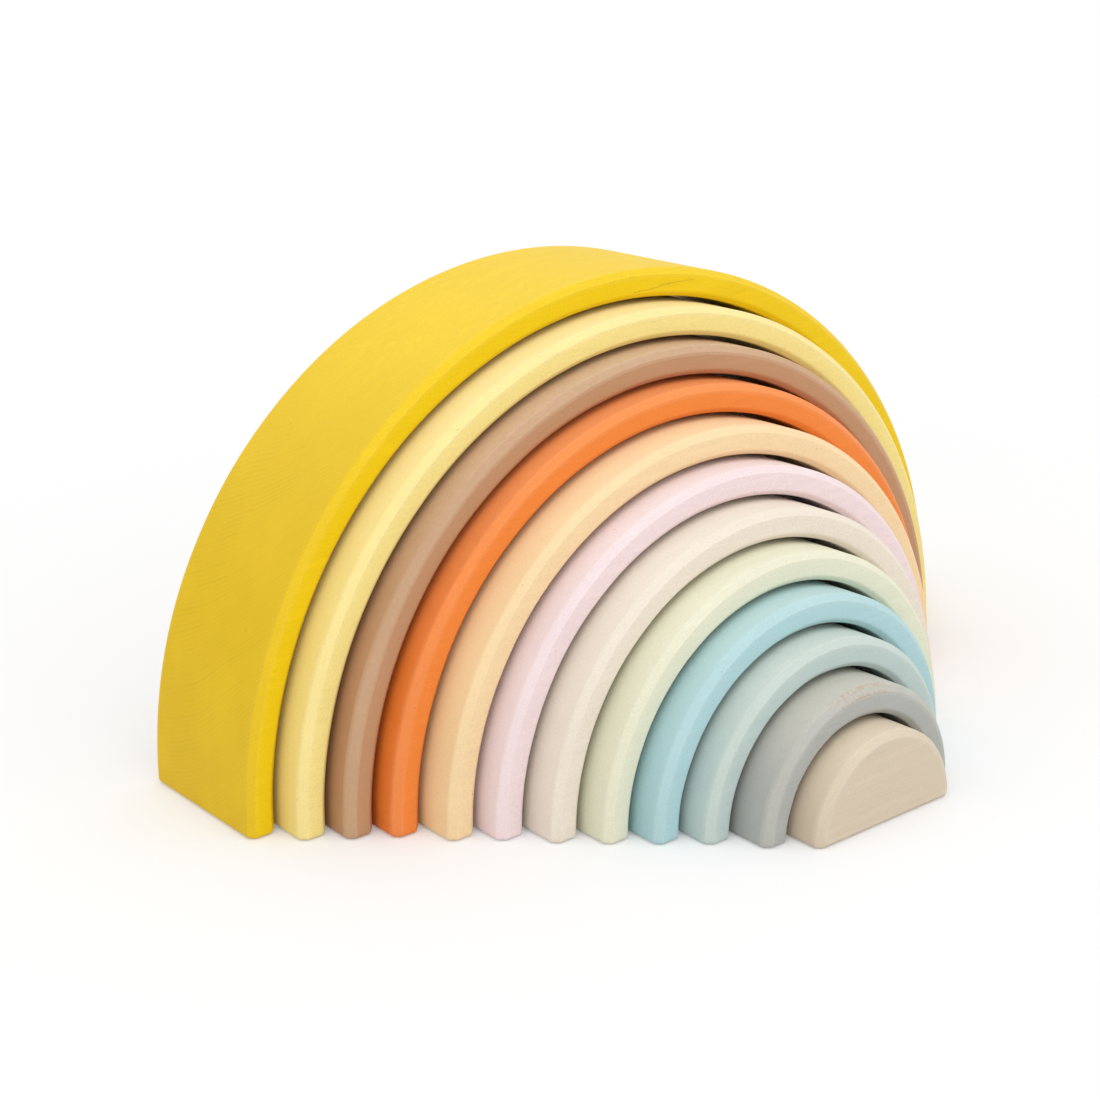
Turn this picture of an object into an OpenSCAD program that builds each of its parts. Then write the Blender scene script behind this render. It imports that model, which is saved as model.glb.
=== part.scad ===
// Nesting rainbow of painted wood: eleven half-round arches and a solid half disc.
// All the pieces share one axis, which lies on the floor and runs from front to back.
// Each piece stands a step in front of the arch around it, and slides through it along that axis.
// +X points right, +Y to the back and +Z up. The origin is on the floor in the middle of the nest.

/* [Pieces] */
// Radius of the solid half disc in the middle
disc_radius = 34.8; // [20:0.2:60]
// Wood left between the outer and the inner curve of every arch
arch_thickness = 11.2; // [8:0.2:20]
// Room between the inner curve of an arch and the piece inside it
nest_gap = 2; // [1:0.1:4]
// Depth of every piece from its front face to its back face
piece_depth = 70; // [40:1:120]

/* [Edges] */
// Chamfer along the outer curve of every piece, front and back
outer_chamfer = 2.5; // [0.5:0.1:4]
// Chamfer along the inner curve of every arch, front and back
inner_chamfer = 2; // [0.5:0.1:3.5]

/* [Arrangement] */
// How far the lemon arch stands in front of the sun yellow arch
lemon_step = 13.5; // [0:0.5:60]
// How far the cocoa arch stands in front of the lemon arch
cocoa_step = 10.5; // [0:0.5:60]
// How far the orange arch stands in front of the cocoa arch
orange_step = 10; // [0:0.5:60]
// How far the apricot arch stands in front of the orange arch
apricot_step = 15.5; // [0:0.5:60]
// How far the pink arch stands in front of the apricot arch
pink_step = 11.5; // [0:0.5:60]
// How far the cream arch stands in front of the pink arch
cream_step = 14.5; // [0:0.5:60]
// How far the pistachio arch stands in front of the cream arch
pistachio_step = 13; // [0:0.5:60]
// How far the sky blue arch stands in front of the pistachio arch
sky_blue_step = 12; // [0:0.5:60]
// How far the sage arch stands in front of the sky blue arch
sage_step = 12; // [0:0.5:60]
// How far the grey arch stands in front of the sage arch
grey_step = 15.5; // [0:0.5:60]
// How far the sand half disc stands in front of the grey arch
sand_step = 12.5; // [0:0.5:60]

/* [Hidden] */

$fn = 180;

// Distance from the outer curve of one piece to the outer curve of the next
pitch = arch_thickness + nest_gap;

// Places in the nest are counted from the outermost arch, which is place 0
steps = [
    0,
    lemon_step,
    cocoa_step,
    orange_step,
    apricot_step,
    pink_step,
    cream_step,
    pistachio_step,
    sky_blue_step,
    sage_step,
    grey_step,
    sand_step,
];
innermost = len(steps) - 1;

// Radius of the outer curve of the piece at a place
function outer_radius(place) = disc_radius + (innermost - place) * pitch;

// How far the piece at a place stands in front of the outermost arch
function pull(place) = place == 0 ? 0 : pull(place - 1) + steps[place];

// The nest is centred front to back, from the outermost arch's back to the half disc's front
function back_face(place) = (piece_depth + pull(innermost)) / 2 - pull(place);

// Cross-section of an arch, radius along X and depth from the back face along Y
module arch_section(outer) {
    inner = outer - arch_thickness;
    polygon([
        [inner, inner_chamfer],
        [inner + inner_chamfer, 0],
        [outer - outer_chamfer, 0],
        [outer, outer_chamfer],
        [outer, piece_depth - outer_chamfer],
        [outer - outer_chamfer, piece_depth],
        [inner + inner_chamfer, piece_depth],
        [inner, piece_depth - inner_chamfer],
    ]);
}

// Cross-section of the half disc, from its axis to its outer curve
module disc_section(outer) {
    polygon([
        [0, 0],
        [outer - outer_chamfer, 0],
        [outer, outer_chamfer],
        [outer, piece_depth - outer_chamfer],
        [outer - outer_chamfer, piece_depth],
        [0, piece_depth],
    ]);
}

// Sweeps a section through half a turn and stands it on its two cut ends at a place in the nest
module half_turn(place) {
    translate([0, back_face(place), 0])
        rotate([90, 0, 0])
            rotate_extrude(angle = 180)
                children();
}

module arch(place) {
    half_turn(place)
        arch_section(outer_radius(place));
}

module arch_sun_yellow() {
    color("#E9BC12") arch(0);
}

module arch_lemon() {
    color("#F3DC7C") arch(1);
}

module arch_cocoa() {
    color("#B58360") arch(2);
}

module arch_orange() {
    color("#EC7A36") arch(3);
}

module arch_apricot() {
    color("#F5CB93") arch(4);
}

module arch_pink() {
    color("#EFD6D5") arch(5);
}

module arch_cream() {
    color("#E9DDCC") arch(6);
}

module arch_pistachio() {
    color("#DFE1C3") arch(7);
}

module arch_sky_blue() {
    color("#AFD2D5") arch(8);
}

module arch_sage() {
    color("#BCCFC9") arch(9);
}

module arch_grey() {
    color("#B5B5AF") arch(10);
}

module half_disc_sand() {
    color("#D9C6AE")
        half_turn(innermost)
            disc_section(disc_radius);
}

arch_sun_yellow();
arch_lemon();
arch_cocoa();
arch_orange();
arch_apricot();
arch_pink();
arch_cream();
arch_pistachio();
arch_sky_blue();
arch_sage();
arch_grey();
half_disc_sand();
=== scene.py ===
import math
from collections import namedtuple

import bmesh
import bpy
from mathutils import Matrix, Vector, noise


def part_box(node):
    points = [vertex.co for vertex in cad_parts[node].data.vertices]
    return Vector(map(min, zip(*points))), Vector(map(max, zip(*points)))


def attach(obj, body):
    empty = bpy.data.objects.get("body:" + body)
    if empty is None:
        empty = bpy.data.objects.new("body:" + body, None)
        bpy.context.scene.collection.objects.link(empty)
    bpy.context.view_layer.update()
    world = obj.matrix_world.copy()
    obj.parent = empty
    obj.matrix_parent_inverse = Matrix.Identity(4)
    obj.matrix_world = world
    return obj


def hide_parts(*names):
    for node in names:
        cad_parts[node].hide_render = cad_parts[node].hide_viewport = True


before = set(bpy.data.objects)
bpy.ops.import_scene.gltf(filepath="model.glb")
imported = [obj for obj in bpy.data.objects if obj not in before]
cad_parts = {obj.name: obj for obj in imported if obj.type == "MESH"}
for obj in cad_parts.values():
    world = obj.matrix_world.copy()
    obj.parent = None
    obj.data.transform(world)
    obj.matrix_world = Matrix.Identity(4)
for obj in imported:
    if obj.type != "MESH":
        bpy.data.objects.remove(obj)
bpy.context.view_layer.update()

MM = 0.001

# Sizes that the frame doesn't give, as in the part's source
NEST_GAP = 2.0 * MM
OUTER_CHAMFER = 2.5 * MM
INNER_CHAMFER = 2.0 * MM

# How far sanding has rounded the edges: where an outer chamfer meets a face, where it meets the
# outer curve, along the inner chamfers, and round the soles. An edge drawn in past its rounding is sharp.
FACE_ARRIS = 0.3 * MM
RIM_ARRIS = 1.5 * MM
INNER_ARRIS = 1.6 * MM
FOOT_ARRIS = 2.2 * MM
SHARP = 0.15 * MM

# How much the chamfers' width changes along an arch, how often it does, and how far apart two pieces
# and two edges lie in the noise that changes it
CHAMFER_WANDER = 0.22 * MM
WANDER_PER_RADIAN = 4.0
WANDER_PIECES_APART = 7.3
WANDER_EDGES_APART = 3.1

# How worn the outer and the inner edges are, from 0 to 1, and how far that reaches onto a wide flat
OUTER_WEAR = 1.0
INNER_WEAR = 0.1
ARRIS_REACH = 1.4 * MM
NARROW_FLAT = 2.5 * ARRIS_REACH

# Fineness of the meshes
RING_SPACING = 2.6 * MM
ARC_STEPS = 4
FOOT_STEPS = 7
DISC_ARC_STEPS = 100
DISC_SOLE_STEPS = 12
FLAT_DIVISIONS = (0.35, 0.65)
CAP_INSET = 0.06
FLAT_WEIGHT = 80

# Pieces from the outside in: node, stain colour, how strongly the growth rings show, and how pale the
# stain is on top, partly painted light and partly thin stain, and how thin it is along the edges
PIECES = [
    ("arch_sun_yellow", "#EEC900", 1.0, 0.2),
    ("arch_lemon", "#F8E28E", 0.15, 1.3),
    ("arch_cocoa", "#BF926D", 0.2, 1.2),
    ("arch_orange", "#F2893B", 0.55, 0.45),
    ("arch_apricot", "#F5D7A7", 0.2, 0.3),
    ("arch_pink", "#F0DCDD", 0.12, 0.15),
    ("arch_cream", "#EBE0D1", 0.12, 0.4),
    ("arch_pistachio", "#E6E5CC", 0.12, 0.4),
    ("arch_sky_blue", "#B2D4D8", 0.12, 0.4),
    ("arch_sage", "#C0D0CC", 0.12, 0.8),
    ("arch_grey", "#B1B3AF", 0.15, 1.0),
    ("half_disc_sand", "#D5C5AF", 0.25, 0.9),
]

# Where an edge has been rubbed down to the wood: the middle along X, and how far to each side. The
# rubbing is full up to a share of that.
RUBBED = {"arch_grey": (0.0 * MM, 19 * MM)}
RUBBED_FULL = 0.4

# Fine cracks along the grain: their ends, as X, depth behind the front face, and Z. They sway by up to
# a distance to each side, about so many times a metre, and are darkest in a share of their width.
CRACKS = {
    "arch_sun_yellow": [
        ((4 * MM, 0.0, 171.4 * MM), (23 * MM, 0.0, 172.2 * MM)),
        ((17 * MM, 0.0, 172.7 * MM), (35 * MM, 0.0, 172.3 * MM)),
        ((2 * MM, 0.0, 177.5 * MM), (32 * MM, 2.5 * MM, 177.2 * MM)),
    ],
}
CRACK_WIDTH = 0.22 * MM
CRACK_CORE = 0.3
CRACK_SWAY = 0.6 * MM
SWAYS_PER_METRE = 160.0

# Growth rings: how far apart they are, and how they rise towards the front face, gently at the back
# of a piece and steeply at its front. Where the rise changes differs from piece to piece by a share.
RING_PITCH = 1.9 * MM
BACK_RISE = 0.3
FRONT_RISE = 0.75
RISE_CHANGES_AT = 38 * MM
RISE_CHANGES_OVER = 20 * MM
RISE_CHANGE_DIFFERS = 0.3
RISE_CHANGE_PACE = 1.9

# How the rings bend, broadly and finely: bends per metre, and how far. Then how narrow the dark part of
# a ring is, and how strong the faintest ring and the breaks in a ring are
RING_BENDS = ((14.0, 12 * MM), (120.0, 0.8 * MM))
LATE_WOOD_POWER = 5.0
FAINTEST_RING = 0.25
BROKEN_RING = 0.2

# Other patterns in the wood: their scale along X, Y and Z, features per metre, detail and roughness,
# and the levels of the noise between which they come in
Pattern = namedtuple("Pattern", "stretch per_metre detail roughness low high")
EVEN = (1.0, 1.0, 1.0)
RING_BREAKS = Pattern((0.15, 1.0, 1.0), 90.0, 2.0, 0.5, 0.3, 0.6)
FIBRES = Pattern((0.06, 1.0, 1.0), 900.0, 3.0, 0.6, 0.5, 0.8)
STREAKS = Pattern((0.05, 1.0, 1.0), 320.0, 2.0, 0.5, 0.5, 0.7)
PORES = Pattern(EVEN, 1500.0, 2.0, 0.6, 0.4, 0.65)
CLOUDS = Pattern(EVEN, 28.0, 3.0, 0.55, 0.35, 0.75)
SAW_MARKS = Pattern((1.0, 0.02, 1.0), 700.0, 2.0, 0.5, 0.35, 0.65)
PALE_PATCHES = Pattern(EVEN, 500.0, 3.0, 0.6, 0.3, 0.7)
FLECKS = Pattern(EVEN, 420.0, 4.0, 0.65, 0.58, 0.72)
BARE_PATCHES = Pattern(EVEN, 650.0, 3.0, 0.7, 0.47, 0.56)

# How far apart two pieces lie in those patterns
PIECES_APART = (0.37, 0.11, 0.23)

# Specks: cells per metre, the chance levels at which a cell has one, and its size in cells
SPECK_CELLS = 110.0
SPECK_CHANCE = (0.7, 0.75)
SPECK_SIZE = (0.05, 0.025)

# How strongly each pattern shows, from 0 to 1. Rings show on the ends of the fibres and along them.
RINGS_ON_ENDS = 0.42
RINGS_ALONG = 0.05
FIBRE_STRENGTH = 0.18
PORE_STRENGTH = 0.26
CLOUD_STRENGTH = 0.2
STREAK_STRENGTH = 0.3
# How strongly the painted shade inside an arch shows, between the saw marks and on them
BAY_SHADE_FROM_TO = (0.3, 0.5)
# Paler in patches on top, partly painted light and partly thin stain, and along the edges, where the
# stain is thin
THIN_STAIN_AND_TOP_LIGHT_STRENGTH = 0.25
THIN_ON_EDGES = 0.45
PALE_PATCH_LEAST = 0.75
FLECK_STRENGTH = 0.25
BARE_STRENGTH = 0.75
MARK_STRENGTH = 0.34

# Where a surface starts and ends being end grain, a top, the inside of an arch, free of streaks, thinly
# stained along an edge, and a worn edge
END_GRAIN_FROM_TO = (0.3, 1.0)
TOP_FROM_TO = (0.3, 1.0)
BAY_FROM_TO = (-0.8, -1.0)
STREAKLESS_FROM_TO = (0.0, 0.6)
THIN_FROM_TO = (0.1, 0.5)
WORN_FROM_TO = (0.5, 1.0)

# Shades of the stain: on rings, on fibres and pores, and the painted shade on the curve inside an arch.
# Then the gain and lift of its lighter places, and its power and level on end grain, which change with
# how strong the grain is
RING_SHADE = 0.5
FIBRE_SHADE = 0.72
BAY_PAINTED_SHADE = 0.35
LIGHTER_GAIN = 1.08
LIGHTER_LIFT = 0.01
SOAKED_POWER = 1.08
SOAKED_LEVEL = 0.94
SOAKED_BY_GRAIN = 0.09

# Pale wood, shown by thin stain, and also painted light on top
PALE_WOOD_AND_TOP_LIGHT = (0.92, 0.83, 0.62, 1.0)
BARE_WOOD = (0.50, 0.36, 0.25, 1.0)
DARK_WOOD = (0.16, 0.09, 0.03, 1.0)

# Roughness of the smoothest wood and how much fibres add, and the relief of the patterns against that
# of the fibres
LEAST_ROUGHNESS = 0.42
FIBRE_ROUGHNESS = 0.2
RING_RELIEF = -0.5
PORE_RELIEF = 0.5
SAW_RELIEF = 1.5

# Camera, solved from the photograph's perspective
CAMERA_PLACE = (-0.5030, -0.5519, 0.3308)
CAMERA_HEADING = 38.78
CAMERA_DOWN = 20.0
CAMERA_ROLL = -1.42
CAMERA_LENS = 67.1
CAMERA_SHIFT = (-0.0172, 0.0426)

# Studio: how bright the surroundings are, and how they brighten towards the front, the left and the top.
# Where it is seen, the floor is lifted by a little light of its own, the shadow on it is softened by a
# share of white, and it fades to white between two distances from the nest.
SURROUND_LEVEL = 0.95
SURROUND_TILT = (-0.06, -0.16, 0.05)
FLOOR_SIZE = 12.0
FLOOR_PALENESS = 0.84
FLOOR_LIFT = 0.08
SHADOW_SOFTENING = 0.15
WHITE_FROM_TO = (0.3, 0.6)
LAMP_PLACE = (-0.25, -0.3, 1.5)
LAMP_AIM = (0, 0, 0.08)
LAMP_SIZE = 1.2
LAMP_POWER = 4.0


def linear(hex_colour):
    """A #RRGGBB colour as linear RGB."""
    channels = [int(hex_colour[i:i + 2], 16) / 255 for i in (1, 3, 5)]
    return [c / 12.92 if c <= 0.04045 else ((c + 0.055) / 1.055) ** 2.4 for c in channels]


# Sections

def corner_tangent(corners, i):
    """Length of an edge that the rounding of corner i takes up."""
    here = Vector(corners[i][:2])
    before = Vector(corners[i - 1][:2]) - here
    after = Vector(corners[(i + 1) % len(corners)][:2]) - here
    return corners[i][2] / math.tan(before.angle(after) / 2)


def flat_points(start, end, arris):
    """Points inside a flat. A narrow one counts half as an edge, a wide one only within a short reach."""
    length = (end - start).length
    if length < NARROW_FLAT:
        return [(*start.lerp(end, 0.5), arris / 2)]
    reach = ARRIS_REACH / length
    return [(*start.lerp(end, t), 0.0) for t in (reach, *FLAT_DIVISIONS, 1 - reach)]


def softened(corners):
    """Outline of a convex polygon with its corners rounded.
    A corner is (radius, depth, rounding, arris), where arris is how worn the corner is, from 0 to 1.
    Returns (radius, depth, arris) points."""
    points = []
    count = len(corners)
    for i in range(count):
        here = Vector(corners[i][:2])
        next_corner = Vector(corners[(i + 1) % count][:2])
        before = (Vector(corners[i - 1][:2]) - here).normalized()
        after = (next_corner - here).normalized()
        rounding, arris = corners[i][2:]
        tangent = corner_tangent(corners, i)
        middle = here + (before + after).normalized() * math.hypot(rounding, tangent)
        start = here + before * tangent - middle
        end = here + after * tangent - middle
        for step in range(ARC_STEPS + 1):
            spoke = start.lerp(end, step / ARC_STEPS).normalized() * rounding
            points.append((*(middle + spoke), arris))
        flat_end = next_corner - after * corner_tangent(corners, (i + 1) % count)
        points += flat_points(here + after * tangent, flat_end, arris)
    return points


def arch_section(outer, inner, depth, outer_chamfer, inner_chamfer, drawn_in):
    """Section of an arch, drawn in by a distance all round, with depth counted from its front face."""
    near, far = drawn_in, depth - drawn_in
    outer -= drawn_in
    inner += drawn_in
    outer_leg = outer_chamfer - drawn_in * (2 - math.sqrt(2))
    inner_leg = inner_chamfer - drawn_in * (2 - math.sqrt(2))
    face, rim, inside = (max(arris - drawn_in, SHARP) for arris in (FACE_ARRIS, RIM_ARRIS, INNER_ARRIS))
    return softened([
        (outer - outer_leg, near, face, OUTER_WEAR),
        (outer, near + outer_leg, rim, OUTER_WEAR),
        (outer, far - outer_leg, rim, OUTER_WEAR),
        (outer - outer_leg, far, face, OUTER_WEAR),
        (inner + inner_leg, far, inside, INNER_WEAR),
        (inner, far - inner_leg, inside, INNER_WEAR),
        (inner, near + inner_leg, inside, INNER_WEAR),
        (inner + inner_leg, near, inside, INNER_WEAR),
    ])


def disc_section(outer, depth):
    """Section of the half disc's rim, from its front face to its back face."""
    outline = softened([
        (0, 0, FACE_ARRIS, 0.0),
        (outer - OUTER_CHAMFER, 0, FACE_ARRIS, OUTER_WEAR),
        (outer, OUTER_CHAMFER, RIM_ARRIS, OUTER_WEAR),
        (outer, depth - OUTER_CHAMFER, RIM_ARRIS, OUTER_WEAR),
        (outer - OUTER_CHAMFER, depth, FACE_ARRIS, OUTER_WEAR),
        (0, depth, FACE_ARRIS, 0.0),
    ])
    on_face = outer - OUTER_CHAMFER - ARRIS_REACH
    return [point for point in outline if point[0] > on_face]


def foot_rounding(height):
    """How far a foot's sides draw in at a height above its sole."""
    below = min(max(FOOT_ARRIS - height, 0.0), FOOT_ARRIS)
    return FOOT_ARRIS - math.sqrt(FOOT_ARRIS ** 2 - below ** 2)


# Meshes

def add_ring(builder, arris, points):
    """Adds a ring of vertices from (x, y, z, arris) points."""
    ring = []
    for *place, edge in points:
        vertex = builder.verts.new(place)
        vertex[arris] = edge
        ring.append(vertex)
    return ring


def bridge(builder, first, second):
    """Joins two closed rings of vertices with quads."""
    count = len(first)
    for i in range(count):
        j = (i + 1) % count
        builder.faces.new((first[i], first[j], second[j], second[i]))


def cap(builder, arris, ring):
    """Closes a ring with a flat face, on which arris falls to 0 just inside the edge."""
    middle = sum((v.co for v in ring), Vector()) / len(ring)
    inner = add_ring(builder, arris, [(*v.co.lerp(middle, CAP_INSET), 0.0) for v in ring])
    bridge(builder, ring, inner)
    hub = add_ring(builder, arris, [(*middle, 0.0)])[0]
    for i in range(len(inner)):
        builder.faces.new((inner[i], inner[(i + 1) % len(inner)], hub))


def lofted(name, layers):
    """A smooth-shaded object through closed layers of (x, y, z, arris) points, whose flats stay flat."""
    builder = bmesh.new()
    arris = builder.verts.layers.float.new("arris")
    rings = [add_ring(builder, arris, layer) for layer in layers]
    for first, second in zip(rings, rings[1:]):
        bridge(builder, first, second)
    cap(builder, arris, rings[0])
    cap(builder, arris, rings[-1])
    bmesh.ops.recalc_face_normals(builder, faces=builder.faces)
    mesh = bpy.data.meshes.new(name)
    builder.to_mesh(mesh)
    builder.free()
    mesh.shade_smooth()
    piece = bpy.data.objects.new(name, mesh)
    bpy.context.scene.collection.objects.link(piece)
    weighting = piece.modifiers.new("flats_stay_flat", "WEIGHTED_NORMAL")
    weighting.mode = "FACE_AREA"
    weighting.weight = FLAT_WEIGHT
    return piece


def ring_angles(outer):
    """Angles of the rings round a half turn, with close ones where the feet are rounded."""
    turns = [math.pi / 2 * step / FOOT_STEPS for step in range(FOOT_STEPS + 1)]
    feet = [math.asin(FOOT_ARRIS * (1 - math.cos(turn)) / outer) for turn in turns]
    count = round(math.pi * outer / RING_SPACING)
    between = [math.pi * i / count for i in range(1, count)]
    between = [a for a in between if feet[-1] < a < math.pi - feet[-1]]
    return feet + between + [math.pi - a for a in reversed(feet)]


def wander(piece_seed, angle, edge):
    """Slow, small change along a hand-sanded edge, from -1 to 1."""
    return noise.noise(Vector((
        angle * WANDER_PER_RADIAN,
        piece_seed * WANDER_PIECES_APART,
        edge * WANDER_EDGES_APART,
    )))


def arch(name, outer, inner, front, depth, piece_seed):
    """An arch standing on its two feet, swept from the left foot over to the right one."""
    layers = []
    for angle in ring_angles(outer):
        section = arch_section(
            outer,
            inner,
            depth,
            OUTER_CHAMFER + CHAMFER_WANDER * wander(piece_seed, angle, 0),
            INNER_CHAMFER + CHAMFER_WANDER * wander(piece_seed, angle, 1),
            foot_rounding(outer * math.sin(angle)),
        )
        layers.append([
            (-radius * math.cos(angle), front + back, radius * math.sin(angle), edge)
            for radius, back, edge in section
        ])
    return lofted(name, layers)


def half_disc_outline(radius, sole):
    """Outline of half a disc above a flat sole, with its two bottom corners rounded."""
    corner = math.asin((sole + FOOT_ARRIS) / radius)
    span = math.pi - 2 * corner
    arc = [math.pi - corner - span * step / DISC_ARC_STEPS for step in range(DISC_ARC_STEPS + 1)]
    outline = [(radius * math.cos(a), radius * math.sin(a)) for a in arc]
    end = radius * math.cos(corner) - FOOT_ARRIS
    turns = [math.pi / 2 * step / ARC_STEPS for step in range(1, ARC_STEPS + 1)]
    rounding = [(end + FOOT_ARRIS * math.cos(t), sole + FOOT_ARRIS * (1 - math.sin(t))) for t in turns]
    outline += rounding
    outline += [(end - 2 * end * step / DISC_SOLE_STEPS, sole) for step in range(1, DISC_SOLE_STEPS)]
    outline += [(-x, z) for x, z in reversed(rounding)]
    return outline


def half_disc(name, outer, front, depth):
    """The half disc, built from its front face to its back face."""
    layers = []
    for radius, back, edge in disc_section(outer, depth):
        sole = foot_rounding(min(back, depth - back))
        layers.append([(x, front + back, z, edge) for x, z in half_disc_outline(radius, sole)])
    return lofted(name, layers)


# Materials

class Nodes:
    """Short ways to add nodes to a tree and join them up."""

    def __init__(self, owner):
        owner.use_nodes = True
        self.tree = owner.node_tree

    def add(self, kind):
        return self.tree.nodes.new("ShaderNode" + kind)

    def feed(self, socket, value):
        if isinstance(value, bpy.types.NodeSocket):
            self.tree.links.new(value, socket)
        else:
            socket.default_value = value

    def math(self, operation, *values):
        node = self.add("Math")
        node.operation = operation
        for socket, value in zip(node.inputs, values):
            self.feed(socket, value)
        return node.outputs[0]

    def vector(self, operation, *values):
        node = self.add("VectorMath")
        node.operation = operation
        for socket, value in zip(node.inputs, values):
            self.feed(socket, value)
        return node.outputs["Value" if operation in ("LENGTH", "DOT_PRODUCT") else "Vector"]

    def noise(self, place, per_metre, detail=2.0, roughness=0.5):
        node = self.add("TexNoise")
        self.feed(node.inputs["Vector"], place)
        self.feed(node.inputs["Scale"], per_metre)
        self.feed(node.inputs["Detail"], detail)
        self.feed(node.inputs["Roughness"], roughness)
        return node.outputs["Fac"]

    def pattern(self, place, kind):
        """Noise of one kind of Pattern."""
        if kind.stretch != EVEN:
            place = self.vector("MULTIPLY", place, kind.stretch)
        return self.noise(place, kind.per_metre, kind.detail, kind.roughness)

    def shown(self, value, kind, least=0.0, most=1.0):
        """How strongly a pattern's noise shows, from least to most."""
        return self.ramp(value, kind.low, kind.high, least, most)

    def chance(self, number):
        """A steady random value from 0 to 1 for each whole number."""
        node = self.add("TexWhiteNoise")
        node.noise_dimensions = "1D"
        self.feed(node.inputs["W"], number)
        return node.outputs["Value"]

    def ramp(self, value, low, high, to_low=0.0, to_high=1.0):
        node = self.add("MapRange")
        node.interpolation_type = "SMOOTHSTEP"
        for socket, number in zip(node.inputs, (value, low, high, to_low, to_high)):
            self.feed(socket, number)
        return node.outputs[0]

    def mix(self, factor, first, second):
        node = self.add("Mix")
        node.data_type = "RGBA"
        self.feed(node.inputs["Factor"], factor)
        self.feed(node.inputs["A"], first)
        self.feed(node.inputs["B"], second)
        return node.outputs["Result"]

    def seen(self):
        """1 for what the camera sees directly, in a mirror or through glass, and 0 for light."""
        path = self.add("LightPath")
        direct = self.math("MAXIMUM", path.outputs["Is Camera Ray"], path.outputs["Is Glossy Ray"])
        return self.math("MAXIMUM", direct, path.outputs["Is Transmission Ray"])


def shade(colour, factor):
    """A colour made darker by a factor, with alpha."""
    return [c * factor for c in colour] + [1.0]


def growth_rings(n, place, shifted, front, piece_seed):
    """Dark lines of late wood. The rings run along X, and rise towards the front face."""
    axes = n.add("SeparateXYZ")
    n.feed(axes.inputs[0], place)
    depth = n.math("SUBTRACT", axes.outputs["Y"], front)
    turn = RISE_CHANGES_AT * (1 + RISE_CHANGE_DIFFERS * math.sin(piece_seed * RISE_CHANGE_PACE))
    near_front = n.math("SMOOTH_MIN", depth, turn, RISE_CHANGES_OVER)
    level = n.math("MULTIPLY_ADD", depth, BACK_RISE, axes.outputs["Z"])
    level = n.math("MULTIPLY_ADD", near_front, FRONT_RISE - BACK_RISE, level)
    along = n.vector("MULTIPLY", shifted, RING_BREAKS.stretch)
    for per_metre, reach in RING_BENDS:
        level = n.math("MULTIPLY_ADD", n.noise(along, per_metre), reach, level)
    count = n.math("DIVIDE", level, RING_PITCH)
    late_wood = n.math("POWER", n.math("FRACT", count), LATE_WOOD_POWER)
    chance = n.chance(n.math("FLOOR", count))
    strength = n.math("MULTIPLY_ADD", chance, 1 - FAINTEST_RING, FAINTEST_RING)
    broken = n.shown(n.pattern(shifted, RING_BREAKS), RING_BREAKS, BROKEN_RING)
    return n.math("MULTIPLY", n.math("MULTIPLY", late_wood, strength), broken)


def specks(n, shifted):
    """A few tiny dark marks, as knots and nicks leave."""
    cells = n.add("TexVoronoi")
    n.feed(cells.inputs["Vector"], shifted)
    n.feed(cells.inputs["Scale"], SPECK_CELLS)
    chosen = n.ramp(n.vector("DOT_PRODUCT", cells.outputs["Color"], (1.0, 0.0, 0.0)), *SPECK_CHANCE)
    return n.math("MULTIPLY", chosen, n.ramp(cells.outputs["Distance"], *SPECK_SIZE))


def crack(n, place, start, end):
    """1 along a line from start to end, falling to 0 within its width."""
    start, end = Vector(start), Vector(end)
    along = end - start
    from_start = n.vector("SUBTRACT", place, start)
    share = n.vector("DOT_PRODUCT", from_start, along / along.length_squared)
    share = n.math("MINIMUM", n.math("MAXIMUM", share, 0.0), 1.0)
    nearest = n.add("VectorMath")
    nearest.operation = "SCALE"
    n.feed(nearest.inputs["Vector"], along)
    n.feed(nearest.inputs["Scale"], share)
    away = n.vector("LENGTH", n.vector("SUBTRACT", from_start, nearest.outputs["Vector"]))
    return n.ramp(away, CRACK_WIDTH, CRACK_CORE * CRACK_WIDTH)


def cracks(n, node, place, shifted, front):
    """All the cracks of a node, each swaying a little up and down."""
    sway = n.math("MULTIPLY_ADD", n.noise(shifted, SWAYS_PER_METRE), 2 * CRACK_SWAY, -CRACK_SWAY)
    upright = n.add("CombineXYZ")
    n.feed(upright.inputs["Z"], sway)
    bent = n.vector("ADD", n.vector("SUBTRACT", place, (0.0, front, 0.0)), upright.outputs[0])
    marks = 0.0
    for start, end in CRACKS[node]:
        marks = n.math("MAXIMUM", marks, crack(n, bent, start, end))
    return marks


def bare_patch(n, node, place, shifted, edge):
    """Where a node's edge is rubbed down to the wood, as far as its reach."""
    middle, reach = RUBBED[node]
    across = n.vector("MULTIPLY_ADD", place, (1.0, 0.0, 0.0), (-middle, 0.0, 0.0))
    near = n.ramp(n.vector("LENGTH", across), reach, RUBBED_FULL * reach)
    patches = n.shown(n.pattern(shifted, BARE_PATCHES), BARE_PATCHES, 0.0, BARE_STRENGTH)
    return n.math("MULTIPLY", n.math("MULTIPLY", edge, near), patches)


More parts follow.
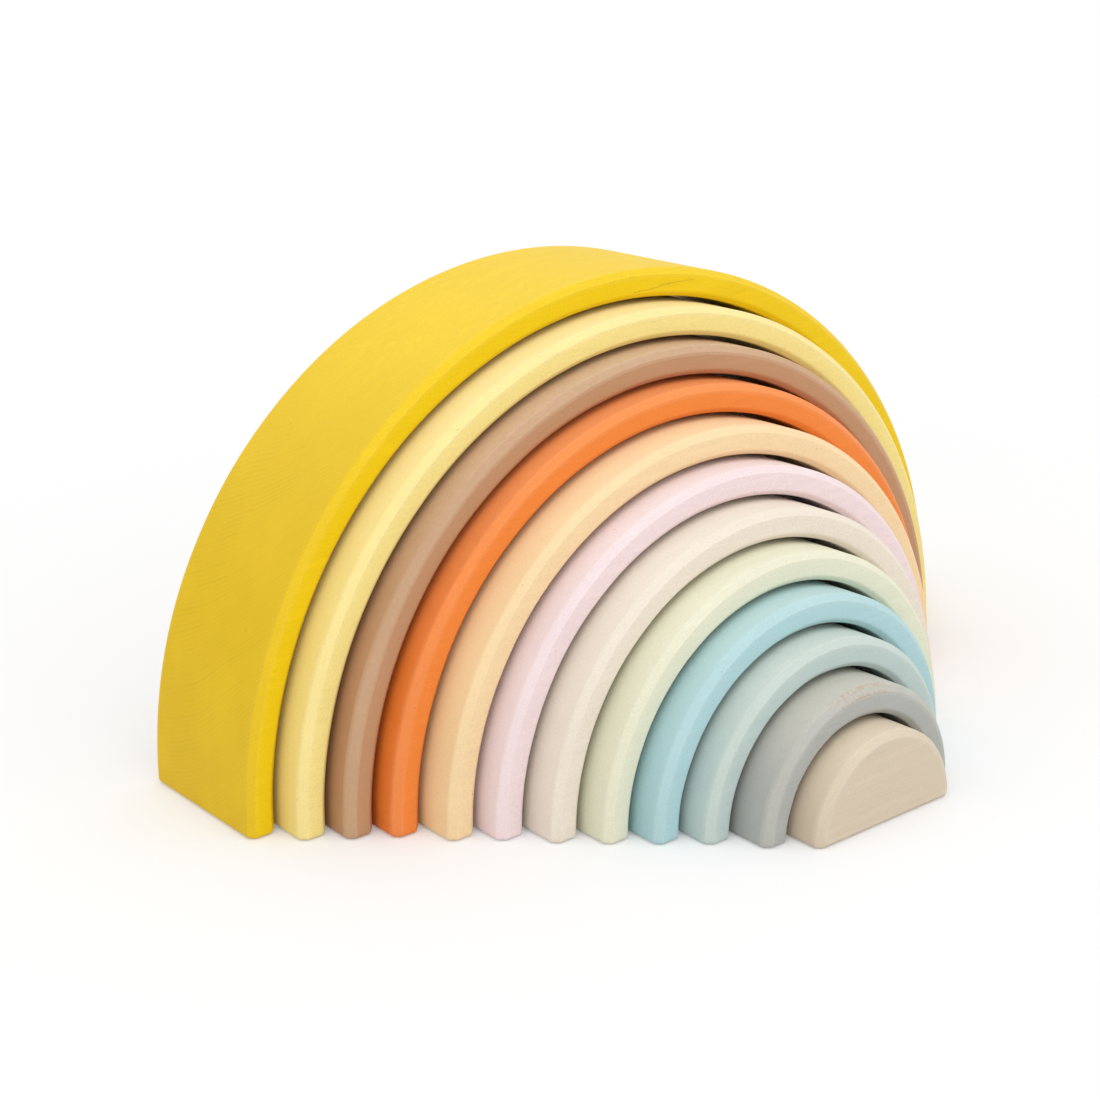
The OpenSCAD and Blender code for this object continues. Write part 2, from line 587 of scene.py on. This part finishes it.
def stained_wood(node, hex_colour, grain, thin_stain_and_top_light, front, piece_seed):
    """Thin matte stain on wood whose fibres run along X, with painted shade inside an arch and painted
    light on top.
    """
    material = bpy.data.materials.new(node + "_stain")
    n = Nodes(material)
    shader = n.tree.nodes["Principled BSDF"]
    stain = linear(hex_colour)
    coordinates = n.add("TexCoord")
    place, normal = coordinates.outputs["Object"], coordinates.outputs["Normal"]
    shifted = n.vector("ADD", place, [piece_seed * apart for apart in PIECES_APART])
    rings = growth_rings(n, place, shifted, front, piece_seed)
    fibres = n.pattern(shifted, FIBRES)
    pores = n.pattern(shifted, PORES)

    # The sides show the ends of the fibres, which drink more stain and show the rings
    facing = n.math("ABSOLUTE", n.vector("DOT_PRODUCT", normal, (1.0, 0.0, 0.0)))
    end_grain = n.ramp(facing, *END_GRAIN_FROM_TO)
    power = SOAKED_POWER + SOAKED_BY_GRAIN * grain
    level = SOAKED_LEVEL - SOAKED_BY_GRAIN * grain
    colour = n.mix(end_grain, stain + [1.0], [c ** power * level for c in stain] + [1.0])
    ring_shade = n.math("MULTIPLY_ADD", end_grain, RINGS_ON_ENDS * grain, RINGS_ALONG * grain)
    colour = n.mix(n.math("MULTIPLY", rings, ring_shade), colour, shade(stain, RING_SHADE))

    # Fibres and pores are darker, and clouds and streaks lighter, with no streaks on end grain
    darker = shade(stain, FIBRE_SHADE)
    colour = n.mix(n.shown(fibres, FIBRES, 0.0, FIBRE_STRENGTH), colour, darker)
    colour = n.mix(n.shown(pores, PORES, 0.0, PORE_STRENGTH), colour, darker)
    lighter = [min(1.0, c * LIGHTER_GAIN + LIGHTER_LIFT) for c in stain] + [1.0]
    clouds = n.shown(n.pattern(shifted, CLOUDS), CLOUDS, 0.0, CLOUD_STRENGTH)
    colour = n.mix(clouds, colour, lighter)
    streaks = n.shown(n.pattern(shifted, STREAKS), STREAKS)
    streaked = n.ramp(end_grain, *STREAKLESS_FROM_TO, STREAK_STRENGTH, 0.0)
    colour = n.mix(n.math("MULTIPLY", streaks, streaked), colour, lighter)

    # The curve inside an arch is left rough with saw marks, and painted darker there as shade, most along
    # the marks
    radial = n.vector("NORMALIZE", n.vector("MULTIPLY", place, (1.0, 0.0, 1.0)))
    bay = n.ramp(n.vector("DOT_PRODUCT", normal, radial), *BAY_FROM_TO)
    saw = n.pattern(shifted, SAW_MARKS)
    painted_bay_shade = n.math("MULTIPLY", bay, n.shown(saw, SAW_MARKS, *BAY_SHADE_FROM_TO))
    colour = n.mix(painted_bay_shade, colour, shade(stain, BAY_PAINTED_SHADE))

    # On top the stain is paler, partly painted light and partly thin stain. Along the edges the stain is
    # thin, and rubbed off in places
    attribute = n.add("Attribute")
    attribute.attribute_name = "arris"
    arris = attribute.outputs["Fac"]
    edge = n.ramp(arris, *WORN_FROM_TO)
    top_light_and_thin_stain = n.ramp(n.vector("DOT_PRODUCT", normal, (0.0, 0.0, 1.0)), *TOP_FROM_TO)
    thin_edges_and_painted_top_light = n.math("MAXIMUM", n.ramp(arris, *THIN_FROM_TO, 0.0, THIN_ON_EDGES), top_light_and_thin_stain)
    patches = n.shown(n.pattern(shifted, PALE_PATCHES), PALE_PATCHES, PALE_PATCH_LEAST)
    patches = n.math("MULTIPLY", patches, THIN_STAIN_AND_TOP_LIGHT_STRENGTH * thin_stain_and_top_light)
    colour = n.mix(n.math("MULTIPLY", thin_edges_and_painted_top_light, patches), colour, PALE_WOOD_AND_TOP_LIGHT)
    fleck_strength = FLECK_STRENGTH * min(thin_stain_and_top_light, 1.0)
    flecks = n.shown(n.pattern(shifted, FLECKS), FLECKS, 0.0, fleck_strength)
    colour = n.mix(n.math("MULTIPLY", edge, flecks), colour, BARE_WOOD)
    if node in RUBBED:
        colour = n.mix(bare_patch(n, node, place, shifted, edge), colour, BARE_WOOD)

    marks = specks(n, shifted)
    if node in CRACKS:
        marks = n.math("MAXIMUM", marks, cracks(n, node, place, shifted, front))
    colour = n.mix(n.math("MULTIPLY", marks, MARK_STRENGTH), colour, DARK_WOOD)

    n.feed(shader.inputs["Base Color"], colour)
    roughness = n.math("MULTIPLY_ADD", fibres, FIBRE_ROUGHNESS, LEAST_ROUGHNESS)
    n.feed(shader.inputs["Roughness"], roughness)
    shader.inputs["Specular IOR Level"].default_value = 0.2
    shader.inputs["Sheen Weight"].default_value = 0.12
    shader.inputs["Sheen Roughness"].default_value = 0.4
    shader.inputs["Sheen Tint"].default_value = stain + [1.0]

    relief = n.math("MULTIPLY_ADD", pores, PORE_RELIEF, fibres)
    relief = n.math("MULTIPLY_ADD", rings, RING_RELIEF * grain, relief)
    relief = n.math("MULTIPLY_ADD", n.math("MULTIPLY", bay, saw), SAW_RELIEF, relief)
    bump = n.add("Bump")
    bump.inputs["Strength"].default_value = 0.3
    bump.inputs["Distance"].default_value = 0.15 * MM
    n.feed(bump.inputs["Height"], n.math("SUBTRACT", relief, marks))
    n.feed(shader.inputs["Normal"], bump.outputs["Normal"])
    return material


# The nest

def build_nest():
    """All the pieces, each where its node is and riding on its body."""
    for i, (node, hex_colour, grain, thin_stain_and_top_light) in enumerate(PIECES):
        low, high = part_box(node)
        outer = high.x
        depth = high.y - low.y
        if i + 1 < len(PIECES):
            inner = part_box(PIECES[i + 1][0])[1].x + NEST_GAP
            piece = arch(node + "_wood", outer, inner, low.y, depth, i)
        else:
            piece = half_disc(node + "_wood", outer, low.y, depth)
        piece.data.materials.append(stained_wood(node, hex_colour, grain, thin_stain_and_top_light, low.y, i))
        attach(piece, node)
        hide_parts(node)


# Studio

def build_floor():
    """Pale floor that fades to white away from the nest and keeps the nest's shadow."""
    bpy.ops.mesh.primitive_plane_add(size=FLOOR_SIZE)
    floor = bpy.context.object
    floor.name = "floor"
    material = bpy.data.materials.new("pale_floor")
    n = Nodes(material)
    shader = n.tree.nodes["Principled BSDF"]
    shader.inputs["Base Color"].default_value = [FLOOR_PALENESS] * 3 + [1.0]
    shader.inputs["Roughness"].default_value = 0.9
    shader.inputs["Specular IOR Level"].default_value = 0.1
    shader.inputs["Emission Color"].default_value = (1.0, 1.0, 1.0, 1.0)
    seen = n.seen()
    n.feed(shader.inputs["Emission Strength"], n.math("MULTIPLY", seen, FLOOR_LIFT))
    from_nest = n.vector("LENGTH", n.add("TexCoord").outputs["Object"])
    whiteness = n.ramp(from_nest, *WHITE_FROM_TO, SHADOW_SOFTENING, 1.0)
    blend = n.add("MixShader")
    n.feed(blend.inputs[0], n.math("MULTIPLY", seen, whiteness))
    n.feed(blend.inputs[1], shader.outputs[0])
    n.feed(blend.inputs[2], n.add("Emission").outputs[0])
    n.feed(n.tree.nodes["Material Output"].inputs["Surface"], blend.outputs[0])
    floor.data.materials.append(material)


def build_surroundings():
    """Even light from all round, a little brighter from the front left, seen as white."""
    world = bpy.data.worlds.new("studio")
    bpy.context.scene.world = world
    n = Nodes(world)
    background = n.tree.nodes["Background"]
    background.inputs["Color"].default_value = (1.0, 1.0, 1.0, 1.0)
    tilt = n.vector("DOT_PRODUCT", n.add("TexCoord").outputs["Generated"], SURROUND_TILT)
    strength = n.add("Mix")
    n.feed(strength.inputs["Factor"], n.seen())
    n.feed(strength.inputs["A"], n.math("ADD", tilt, SURROUND_LEVEL))
    n.feed(strength.inputs["B"], 1.0)
    n.feed(background.inputs["Strength"], strength.outputs["Result"])


def build_lamp():
    """One wide, weak lamp overhead, which gives the nest a soft shadow."""
    data = bpy.data.lights.new("overhead", "AREA")
    data.shape = "DISK"
    data.size = LAMP_SIZE
    data.energy = LAMP_POWER
    lamp = bpy.data.objects.new("overhead", data)
    lamp.location = LAMP_PLACE
    lamp.rotation_euler = (Vector(LAMP_AIM) - Vector(LAMP_PLACE)).to_track_quat("-Z", "Y").to_euler()
    bpy.context.scene.collection.objects.link(lamp)


def build_camera():
    """The photograph's camera."""
    data = bpy.data.cameras.new("camera")
    data.lens = CAMERA_LENS
    data.sensor_width = 36.0
    data.shift_x, data.shift_y = CAMERA_SHIFT
    camera = bpy.data.objects.new("camera", data)
    camera.matrix_world = (
        Matrix.Translation(CAMERA_PLACE)
        @ Matrix.Rotation(math.radians(-CAMERA_HEADING), 4, "Z")
        @ Matrix.Rotation(math.radians(90 - CAMERA_DOWN), 4, "X")
        @ Matrix.Rotation(math.radians(CAMERA_ROLL), 4, "Z")
    )
    bpy.context.scene.collection.objects.link(camera)
    bpy.context.scene.camera = camera


build_nest()
build_floor()
build_surroundings()
build_lamp()
build_camera()

bpy.context.scene.view_settings.view_transform = "Standard"
